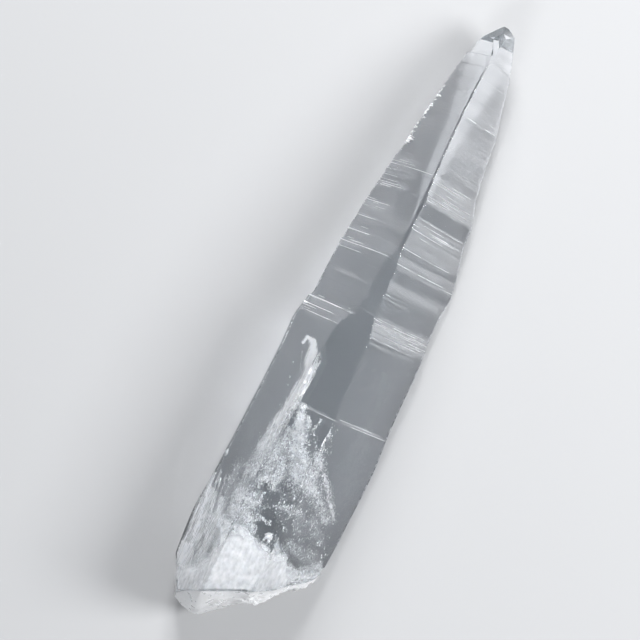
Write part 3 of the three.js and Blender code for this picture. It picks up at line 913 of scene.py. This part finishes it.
def sheet(name, box, step, density, depth, ruffle, seed, thick=0.03, least=0.04, margin=0.7):
    """A thin, closed, ruffled sheet inside the crystal over a box in the view. Each point carries its density."""
    us, vs = np.arange(box[0], box[2] + step / 2, step), np.arange(box[1], box[3] + step / 2, step)
    uu, vv = np.meshgrid(us, vs, indexing="ij")
    wobble = 2.2 * (noise2(uu * 0.13, vv * 0.13, seed) - 0.5)
    dens = density(uu + wobble, vv + wobble * 0.6)
    where = depth(uu, vv) + ruffle * ((noise2(uu * 0.045, vv * 0.045, seed + 1) - 0.5) * 1.4
                                      + (noise2(uu * 0.13, vv * 0.13, seed + 2) - 0.5) * 0.6)
    index, pts, values = {}, [], []
    for i in range(len(us)):
        for j in range(len(vs)):
            if dens[i, j] < least:
                continue
            at = inside(us[i], vs[j], where[i, j], margin)
            if at is not None:
                index[i, j] = len(pts)
                pts.append(at[:])
                values.append(dens[i, j])
    faces, edges = [], {}
    for (i, j), a in index.items():
        b, c, d = index.get((i + 1, j)), index.get((i + 1, j + 1)), index.get((i, j + 1))
        if b is None or c is None or d is None:
            continue
        q = (a, b, c, d)
        p = [Vector(pts[k]) for k in q]
        if max((p[k] - p[k - 1]).length for k in range(4)) > 6 * step * 0.2666:
            continue
        faces.append(q)
        for k in range(4):
            e = (q[k], q[(k + 1) % 4])
            edges[e] = edges.get(e, 0) + 1
    n = len(pts)
    back = [(p[0], p[1], p[2] - thick) for p in pts]
    both = faces + [tuple(k + n for k in reversed(f)) for f in faces]
    for a, b in edges:
        if (b, a) not in edges:
            both.append((b, a, a + n, b + n))
    mesh = bpy.data.meshes.new(name)
    mesh.from_pydata([(p[0] * MM, p[1] * MM, p[2] * MM) for p in pts + back], [], both)
    mesh.attributes.new("cover", "FLOAT", "POINT").data.foreach_set("value", np.array(values * 2, np.float32))
    mesh.update()
    b = bmesh.new()
    b.from_mesh(mesh)
    bmesh.ops.delete(b, geom=[w for w in b.verts if not w.link_faces], context="VERTS")
    bmesh.ops.recalc_face_normals(b, faces=b.faces)
    b.to_mesh(mesh)
    b.free()
    mesh.shade_smooth()
    ob = bpy.data.objects.new(name, mesh)
    bpy.context.scene.collection.objects.link(ob)
    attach(ob, "root")
    return ob


# feathery veils below the thin growth line
FEATHER = [
    (303, 407, 300, 420, 4, 6, 0.95), (300, 420, 297, 445, 7, 10, 0.80), (297, 445, 300, 468, 11, 13, 0.72),
    (300, 468, 313, 492, 12, 10, 0.58), (313, 492, 326, 520, 10, 7, 0.42), (290, 432, 275, 455, 7, 9, 0.52),
    (275, 455, 266, 478, 8, 7, 0.48), (284, 462, 275, 480, 8, 7, 0.55), (268, 480, 280, 497, 6, 7, 0.40),
    (284, 420, 262, 450, 6, 7, 0.38), (262, 450, 243, 485, 7, 8, 0.34), (243, 485, 228, 520, 9, 11, 0.40),
    (240, 465, 228, 490, 6, 6, 0.30), (245, 498, 258, 500, 7, 6, 0.66), (240, 508, 252, 520, 8, 7, 0.55),
    (246, 515, 254, 530, 6, 6, 0.66), (300, 500, 300, 532, 9, 9, 0.26), (314, 522, 319, 542, 10, 9, 0.26),
    (290, 546, 312, 558, 11, 11, 0.26), (258, 515, 270, 524, 3.5, 3.5, 0.55), (274, 506, 290, 508, 2.5, 2.5, 0.65),
    (309, 418, 309, 428, 2, 2, 0.8),
    (287, 415, 282, 428, 3.0, 3.0, 0.40), (316, 436, 314, 450, 3, 3, 0.25), (322, 418, 312, 432, 1.5, 1.5, 0.5),
]
POCKETS = [
    (278, 499, 290, 497, 6, 6, 0.75), (262, 490, 266, 500, 5, 6, 0.5), (266, 508, 280, 522, 6, 7, 0.6),
    (285, 420, 290, 424, 3, 3, 0.5), (262, 530, 280, 530, 8, 8, 0.4),
]


def feather_density(u, v):
    return np.clip(strokes(u, v, FEATHER) - strokes(u, v, POCKETS), 0, 1)


for k, (deep, share) in enumerate(((0.12, 0.62), (0.24, 0.66), (0.38, 0.66))):
    sheet("feathery_veil_%d" % (k + 1), (205, 400, 340, 566), 1.6, lambda u, v: feather_density(u, v) * share,
          lambda u, v: deep + 0.0006 * (v - 400), 0.14, 600 + 10 * k)

# the sharp right limit of the veils
LIMIT = [(319, 462, 327, 488, 2.2, 2.8, 0.55), (327, 488, 334, 520, 2.8, 1.8, 0.60), (314, 452, 319, 462, 1.5, 1.8, 0.4)]
sheet("feathery_veil_limit", (305, 445, 342, 530), 1.0, lambda u, v: strokes(u, v, LIMIT), lambda u, v: 0.06 + 0.0 * u,
      0.02, 636, margin=0.5)

# the bright white vein: a silky ribbon with a hooked head, close under face A beside its edge with B
RIBBON = [
    (308, 337, 314, 341, 2.2, 3.0, 0.95), (303, 343, 308, 337, 1.6, 2.4, 0.8), (313, 341, 312, 352, 3.8, 4.8, 0.95),
    (312, 352, 309, 372, 5.0, 6.2, 0.92), (309, 372, 300, 390, 6.2, 6.0, 0.92), (300, 390, 290, 405, 6.0, 6.2, 0.88),
    (290, 405, 278, 422, 6.2, 7.5, 0.70), (278, 422, 262, 446, 8, 9, 0.46), (262, 446, 244, 474, 9, 9, 0.32),
    (303, 352, 300, 372, 1.2, 1.2, 0.45),
]
sheet("silky_vein", (232, 330, 326, 480), 1.2, lambda u, v: strokes(u, v, RIBBON), lambda u, v: 0.075 + 0.0 * u, 0.015,
      640, margin=0.6)
sheet("silky_vein_below", (232, 330, 326, 480), 1.5, lambda u, v: strokes(u, v, RIBBON) * 0.9,
      lambda u, v: 0.12 + 0.0 * u, 0.02, 650, margin=0.6)

# lengthwise streaks under the left side of the base
STREAKS = [
    (214, 474, 193, 535, 1.5, 1.5, 0.85), (221, 478, 204, 535, 1.2, 1.4, 0.62), (208, 480, 184, 545, 1.8, 2.0, 0.60),
    (227, 474, 212, 520, 2.2, 2.6, 0.42), (210, 492, 186, 560, 9, 13, 0.56), (232, 480, 216, 520, 6, 8, 0.28),
    (222, 500, 196, 565, 7, 12, 0.52), (184, 545, 180, 585, 9, 11, 0.70),
]
for k, deep in enumerate((0.16, 0.42)):
    sheet("streaked_veil_%d" % (k + 1), (174, 466, 244, 580), 1.4, lambda u, v: strokes(u, v, STREAKS),
          lambda u, v: deep + 0.0 * u, 0.05, 660 + 10 * k, margin=0.5)

# the milky base: nearly even white below a cloudy upper limit, with a sharp right limit along a healed crack
MILK_U = [168, 185, 197, 206, 215, 225, 240, 250, 257, 268, 283, 285, 287, 300, 312, 322, 336]
MILK_V = [552, 553, 556, 550, 538, 527, 520, 523, 534, 545, 549, 551, 563, 564, 561, 560, 600]


def milk_density(u, v):
    below = v - np.interp(u, MILK_U, MILK_V)
    cloudy = 6 * (noise2(u * 0.11, v * 0.11, 61) - 0.5) + 4 * (noise2(u * 0.31, v * 0.31, 62) - 0.5)
    left = u < 285.5 + 0.06 * (v - 551)
    soft = np.where(left, smooth(-9, 16, below + cloudy), 0.92 * smooth(-10, 16, below + 1.4 * cloudy))
    return soft * (0.80 + 0.20 * smooth(2, 24, below))


for k, (deep, share) in enumerate(((0.035, 0.50), (0.16, 0.60), (0.36, 0.75), (0.66, 0.95))):
    sheet("milky_veil_%d" % (k + 1), (170, 500, 336, 618), 1.6, lambda u, v: milk_density(u, v) * share,
          lambda u, v: deep + 0.0 * u, 0.02 if k == 0 else 0.10, 700 + 10 * k, margin=0.4)

# small plates that glitter in the veils
sparkle = Veil("glittering_flakes", 12)
rng = sparkle.rng
us, vs = rng.uniform(180, 340, 150000), rng.uniform(402, 600, 150000)
ridge = 1 - abs(2 * noise2(us * 0.22, vs * 0.22, 41) - 1)
chance = 0.8 * (feather_density(us, vs) * smooth(0.35, 0.95, ridge) + 0.05 * milk_density(us, vs))
for k in np.nonzero(rng.random(len(us)) < chance)[0][:5600]:
    size = rng.lognormal(-1.55, 0.45)
    sparkle.add(us[k], vs[k], rng.uniform(0.10, 0.48), AXIS_ON_VIEW, size * rng.uniform(1.0, 2.6), size,
                0.03 + 0.08 * size, 0.8)
sparkle.build()

# fine fibres along the wisps' sharp right boundary, in the vein and in the streaks
fibres = Veil("fibres_and_streaks", 13)
rng = fibres.rng
for line, count, spread, depth, long in (
    ([(318, 452), (322, 466), (327, 482), (331, 500), (334, 522)], 420, 2.4, 0.08, 1.3),
    ([(312, 352), (308, 372), (299, 390), (290, 405), (278, 422), (262, 446)], 650, 1.5, 0.09, 2.4),
    ([(214, 472), (208, 486), (201, 508), (195, 530)], 420, 0.9, 0.22, 2.4),
    ([(221, 470), (212, 495), (203, 523)], 260, 0.8, 0.26, 2.4), ([(206, 478), (196, 505), (188, 535)], 200, 0.8, 0.22, 2.4),
):
    for _ in range(count):
        q, d = curve(line, rng.uniform(0, 1))
        q = q + ACROSS_VIEW * rng.normal() * spread
        fibres.add(q[0], q[1], depth + 0.01 * rng.normal(), d, rng.uniform(0.3, 1.0) * long, rng.uniform(0.06, 0.14),
                   0.03, 0.25, 0.5)
fibres.build()

# single bright flakes and spots: place, length, width. The three flakes at (268, 536) are a painted highlight: white
# flakes standing in for the glint off a small cavity.
spots = Veil("bright_flakes", 14)
rng = spots.rng
for u, v, long, wide, depth in (
    (303, 410, 1.9, 1.0, 0.20), (301, 418, 1.5, 1.0, 0.22), (309, 423, 2.6, 0.6, 0.22), (297, 416, 1.0, 0.6, 0.24),
    (314, 435, 0.7, 0.5, 0.25), (309, 445, 0.7, 0.6, 0.26), (292, 397, 1.8, 1.0, 0.10), (296, 391, 1.2, 0.9, 0.10),
    (213, 478, 2.4, 1.3, 0.20), (215, 474, 1.3, 0.8, 0.20), (239, 467, 0.9, 0.8, 0.30), (247, 490, 2.9, 0.7, 0.30),
    # the rows from (268, 536) on this line are a painted highlight, white flakes put where a small cavity glints
    (250, 486, 1.1, 0.9, 0.30), (268, 536, 3.2, 2.5, 0.10), (270, 538, 1.6, 1.2, 0.10), (265, 538, 1.2, 1.0, 0.10),
    (298, 577, 3.2, 2.6, 0.12), (303, 573, 2.4, 1.6, 0.12), (311, 574, 2.2, 1.2, 0.12), (292, 582, 2.2, 1.8, 0.12), (293, 362, 0.6, 0.4, 0.2), (290, 377, 0.7, 0.5, 0.2),
    (288, 385, 0.6, 0.4, 0.2), (276, 509, 0.7, 0.5, 0.3), (281, 509, 0.5, 0.4, 0.3), (286, 510, 0.6, 0.4, 0.3),
    (267, 482, 0.9, 0.6, 0.3), (325, 441, 0.5, 0.4, 0.3), (327, 436, 0.5, 0.3, 0.3), (320, 450, 0.6, 0.4, 0.3),
    (292, 506, 0.9, 0.6, 0.3), (270, 508, 0.6, 0.4, 0.3), (305, 456, 0.8, 0.4, 0.3), (258, 487, 0.6, 0.4, 0.3),
):
    for k in range(4):
        j = rng.normal(size=2) * 0.26 * (k > 0)
        q = np.array([u, v]) + j * long / 0.2666
        f = 1.0 if k == 0 else rng.uniform(0.3, 0.65)
        spots.add(q[0], q[1], depth, AXIS_ON_VIEW, long * f, wide * f, 0.05 + 0.04 * wide * f, 0.18)
spots.build(7)

# ---------------------------------------------------------------- materials


def principled(name):
    m = bpy.data.materials[name]
    nt = m.node_tree
    nt.nodes.clear()
    out = nt.nodes.new("ShaderNodeOutputMaterial")
    p = nt.nodes.new("ShaderNodeBsdfPrincipled")
    nt.links.new(p.outputs["BSDF"], out.inputs["Surface"])
    return m, nt, p, out


def absorb(nt, out):
    # a faint grey absorption that darkens the water-clear body: painted shade, standing in for the dark surroundings
    # seen through it
    v = nt.nodes.new("ShaderNodeVolumeAbsorption")
    v.inputs["Color"].default_value = (0.80, 0.84, 0.86, 1)
    v.inputs["Density"].default_value = 20.0
    nt.links.new(v.outputs["Volume"], out.inputs["Volume"])


def node(nt, kind, **values):
    n = nt.nodes.new(kind)
    for k, v in values.items():
        setattr(n, k, v)
    return n


def streaks(nt, scale, across, detail=2.0, seed=0.0):
    """Noise stretched across the faces: fast along the axis and slow across it."""
    coord = node(nt, "ShaderNodeTexCoord")
    mapping = node(nt, "ShaderNodeMapping")
    mapping.inputs["Scale"].default_value = (scale, across, across)
    mapping.inputs["Location"].default_value = (seed, seed * 0.7, seed * 1.3)
    noise = node(nt, "ShaderNodeTexNoise")
    noise.inputs["Scale"].default_value = 1.0
    noise.inputs["Detail"].default_value = detail
    nt.links.new(coord.outputs["Object"], mapping.inputs["Vector"])
    nt.links.new(mapping.outputs["Vector"], noise.inputs["Vector"])
    return noise.outputs["Fac"]


def ramp(nt, value, low, high, to_low, to_high):
    r = node(nt, "ShaderNodeMapRange")
    r.inputs["From Min"].default_value = low
    r.inputs["From Max"].default_value = high
    r.inputs["To Min"].default_value = to_low
    r.inputs["To Max"].default_value = to_high
    nt.links.new(value, r.inputs["Value"])
    return r.outputs["Result"]


def bumps(nt, p, height, strength, distance):
    b = node(nt, "ShaderNodeBump")
    b.inputs["Strength"].default_value = strength
    b.inputs["Distance"].default_value = distance
    nt.links.new(height, b.inputs["Height"])
    nt.links.new(b.outputs["Normal"], p.inputs["Normal"])


def compute(nt, kind, a, b=None, c=None):
    n = node(nt, "ShaderNodeMath", operation=kind)
    for k, value in enumerate((a, b, c)):
        if value is None:
            continue
        if isinstance(value, (int, float)):
            n.inputs[k].default_value = value
        else:
            nt.links.new(value, n.inputs[k])
    return n.outputs[0]


# the clear faces: where growth lines frost them they pass less light and scatter more
m, nt, p, out = principled("clear_quartz")
p.inputs["Base Color"].default_value = (0.97, 0.98, 1.0, 1)
p.inputs["IOR"].default_value = 1.544
fine = streaks(nt, 3400, 90, 3.0)
cover = node(nt, "ShaderNodeAttribute", attribute_name="cover").outputs["Fac"]
frosted = compute(nt, "MULTIPLY", cover, ramp(nt, fine, 0.36, 0.64, 0.70, 1.25))
nt.links.new(ramp(nt, frosted, 0.0, 1.0, 1.0, 0.72), p.inputs["Transmission Weight"])
smudge = ramp(nt, streaks(nt, 120, 200, 5.0, 9.0), 0.55, 0.80, 0.0, 0.07)
nt.links.new(compute(nt, "ADD", smudge, ramp(nt, frosted, 0.0, 1.0, 0.0, 0.36)), p.inputs["Roughness"])
bumps(nt, p, fine, 0.12, 0.00003)
absorb(nt, out)

# the worn finish also serves as the painted glint on B|C near 130
for name, clear, rough, grain in (("worn_quartz", 0.25, 0.32, 1500), ("broken_quartz", 0.56, 0.22, 500)):
    m, nt, p, out = principled(name)
    p.inputs["Base Color"].default_value = (0.97, 0.975, 0.985, 1)
    p.inputs["Transmission Weight"].default_value = clear
    p.inputs["IOR"].default_value = 1.544
    fine = streaks(nt, grain, grain, 6.0, 5.0)
    nt.links.new(ramp(nt, fine, 0.3, 0.7, rough, rough + 0.25), p.inputs["Roughness"])
    bumps(nt, p, fine, 0.10, 0.00006)
    absorb(nt, out)

def veil(name, low, high, roughness, opacity, along, across, detail, ridged, softness, gain):
    """A white film that is open where its density is low: ridged noise leaves threads, plain noise leaves clouds."""
    m, nt, p, out = principled(blank(name).name)
    tint = streaks(nt, 700, 900, 3.0, 7.0)
    mix = node(nt, "ShaderNodeValToRGB")
    mix.color_ramp.elements[0].position = 0.3
    mix.color_ramp.elements[0].color = low
    mix.color_ramp.elements[1].position = 0.65
    mix.color_ramp.elements[1].color = high
    nt.links.new(tint, mix.inputs["Fac"])
    nt.links.new(mix.outputs["Color"], p.inputs["Base Color"])
    p.inputs["Roughness"].default_value = roughness
    p.inputs["Specular IOR Level"].default_value = 0.1
    if opacity is None:
        return m
    math_node = lambda kind, a, b=None, c=None: compute(nt, kind, a, b, c)
    noise = streaks(nt, along, across, detail, 11.0)
    if ridged:
        # 1 on the line where the noise crosses its middle, falling to 0 away from it
        noise = math_node("SUBTRACT", 1.0, math_node("ABSOLUTE", math_node("MULTIPLY", math_node("SUBTRACT", noise, 0.5), gain)))
    else:
        noise = math_node("ADD", math_node("MULTIPLY", math_node("SUBTRACT", noise, 0.5), gain), 0.5)
    dens = node(nt, "ShaderNodeAttribute", attribute_name="cover").outputs["Fac"]
    edge = math_node("SUBTRACT", 1.0, math_node("MULTIPLY", dens, 1.0 + softness))
    r = node(nt, "ShaderNodeMapRange")
    r.interpolation_type = "SMOOTHSTEP"
    nt.links.new(noise, r.inputs["Value"])
    nt.links.new(edge, r.inputs["From Min"])
    nt.links.new(math_node("ADD", edge, softness), r.inputs["From Max"])
    r.inputs["To Max"].default_value = opacity
    nt.links.new(r.outputs["Result"], p.inputs["Alpha"])
    return m


PALE, WHITE = (0.90, 0.92, 0.95, 1), (0.985, 0.985, 0.985, 1)
flake = veil("white_flakes", PALE, WHITE, 0.35, None, 0, 0, 0, False, 0, 0)
lace = veil("lacy_veil", PALE, WHITE, 0.5, 0.72, 700, 1100, 10.0, True, 0.35, 10.0)
silk = veil("silky_veil", PALE, WHITE, 0.4, 0.85, 260, 3400, 5.0, False, 0.6, 1.8)
milk = veil("milky_veil", PALE, WHITE, 0.6, 0.90, 600, 850, 9.0, False, 0.8, 0.55)
for name in ("glittering_flakes", "fibres_and_streaks", "bright_flakes"):
    bpy.data.objects[name].data.materials.append(flake)
for ob in bpy.data.objects:
    for start, finish in (("feathery_veil", lace), ("silky_vein", silk), ("streaked_veil", silk), ("milky_veil", milk)):
        if ob.name.startswith(start):
            ob.data.materials.append(finish)

# ---------------------------------------------------------------- stage and light

floor_mesh = bpy.data.meshes.new("floor")
S = 30.0
floor_mesh.from_pydata([(-S, -S, -5e-5), (S, -S, -5e-5), (S, S, -5e-5), (-S, S, -5e-5)], [], [(0, 1, 2, 3)])
floor = bpy.data.objects.new("floor", floor_mesh)
bpy.context.scene.collection.objects.link(floor)
fm = bpy.data.materials.new("floor")
fm.use_nodes = True
fm.node_tree.nodes["Principled BSDF"].inputs["Base Color"].default_value = (0.32, 0.323, 0.33, 1)
fm.node_tree.nodes["Principled BSDF"].inputs["Roughness"].default_value = 0.9
fm.node_tree.nodes["Principled BSDF"].inputs["Specular IOR Level"].default_value = 0.1
floor_mesh.materials.append(fm)

world = bpy.data.worlds.new("studio")
bpy.context.scene.world = world
world.use_nodes = True
world.node_tree.nodes["Background"].inputs["Color"].default_value = (0.8, 0.86, 0.95, 1)
world.node_tree.nodes["Background"].inputs["Strength"].default_value = 0.22


def area(name, at, target, size, power, colour=(1, 1, 1), size_y=None):
    light = bpy.data.lights.new(name, "AREA")
    light.shape = "RECTANGLE"
    light.size = size
    light.size_y = size_y or size
    light.energy = power
    light.color = colour
    ob = bpy.data.objects.new(name, light)
    ob.location = at
    ob.rotation_euler = (Vector(target) - Vector(at)).to_track_quat("-Z", "Y").to_euler()
    bpy.context.scene.collection.objects.link(ob)
    return ob


def softbox(name, azimuth, elevation, away, size, power, colour=(1, 1, 1)):
    a, e = math.radians(azimuth), math.radians(elevation)
    at = Vector((math.cos(e) * math.cos(a), math.cos(e) * math.sin(a), math.sin(e))) * away
    return area(name, at, (0, 0, 0), size, power, colour)


softbox("key", 22, 33, 0.9, 0.34, 15)
softbox("right", -72, 38, 0.9, 0.34, 13)
softbox("back", 178, 40, 0.9, 0.34, 4)

camera = bpy.data.cameras.new("camera")
camera.lens = LENS
camera.sensor_width = SENSOR
camera.clip_start = 0.05
camera.clip_end = 100.0
cam = bpy.data.objects.new("camera", camera)
bpy.context.scene.collection.objects.link(cam)
basis = Matrix((VIEW_RIGHT, VIEW_UP, VIEW_BACK)).transposed().to_4x4()
basis.translation = VIEW_FROM * MM
cam.matrix_world = basis
bpy.context.scene.camera = cam

sc = bpy.context.scene
sc.cycles.use_denoising = True
sc.cycles.max_bounces = 16
sc.cycles.transmission_bounces = 16
sc.cycles.glossy_bounces = 8
sc.cycles.transparent_max_bounces = 48
sc.cycles.caustics_reflective = True
sc.cycles.caustics_refractive = True
sc.view_settings.view_transform = "Standard"
